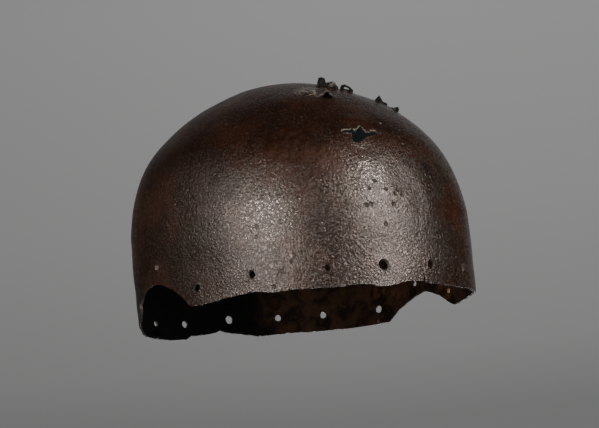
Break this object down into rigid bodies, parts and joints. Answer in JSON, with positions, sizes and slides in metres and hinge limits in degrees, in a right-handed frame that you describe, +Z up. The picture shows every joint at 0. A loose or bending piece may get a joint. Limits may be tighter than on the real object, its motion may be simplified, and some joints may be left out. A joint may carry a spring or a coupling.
{
  "type": "sallet",
  "caption": "Open-faced iron helmet skull, relic state: rounded raised dome, ragged rim with ear notches, empty lining holes, torn crown with bent-up slivers.",
  "frame": {"origin": "Middle of the overall bounding box in plan, on the table plane under the rim", "axes": "+Z up, -Y towards the brow, +Y towards the nape, +X towards the wearer's left; the rim stands on the table on three low places"},
  "size_m": [0.2024, 0.2346, 0.1475],
  "materials": {
    "patinated_iron": "dark brown patina over fine pitting, satin",
    "torn_iron": "matte grey-brown corroded iron"
  },
  "bodies": {
    "root": {"skull": "patinated_iron", "raised_blister": "torn_iron", "torn_tab_upright": "torn_iron", "torn_flap_folded": "torn_iron", "torn_flap_looped": "torn_iron", "torn_ridge_upper": "torn_iron", "torn_ridge_lower": "torn_iron"}
  },
  "joints": []
}
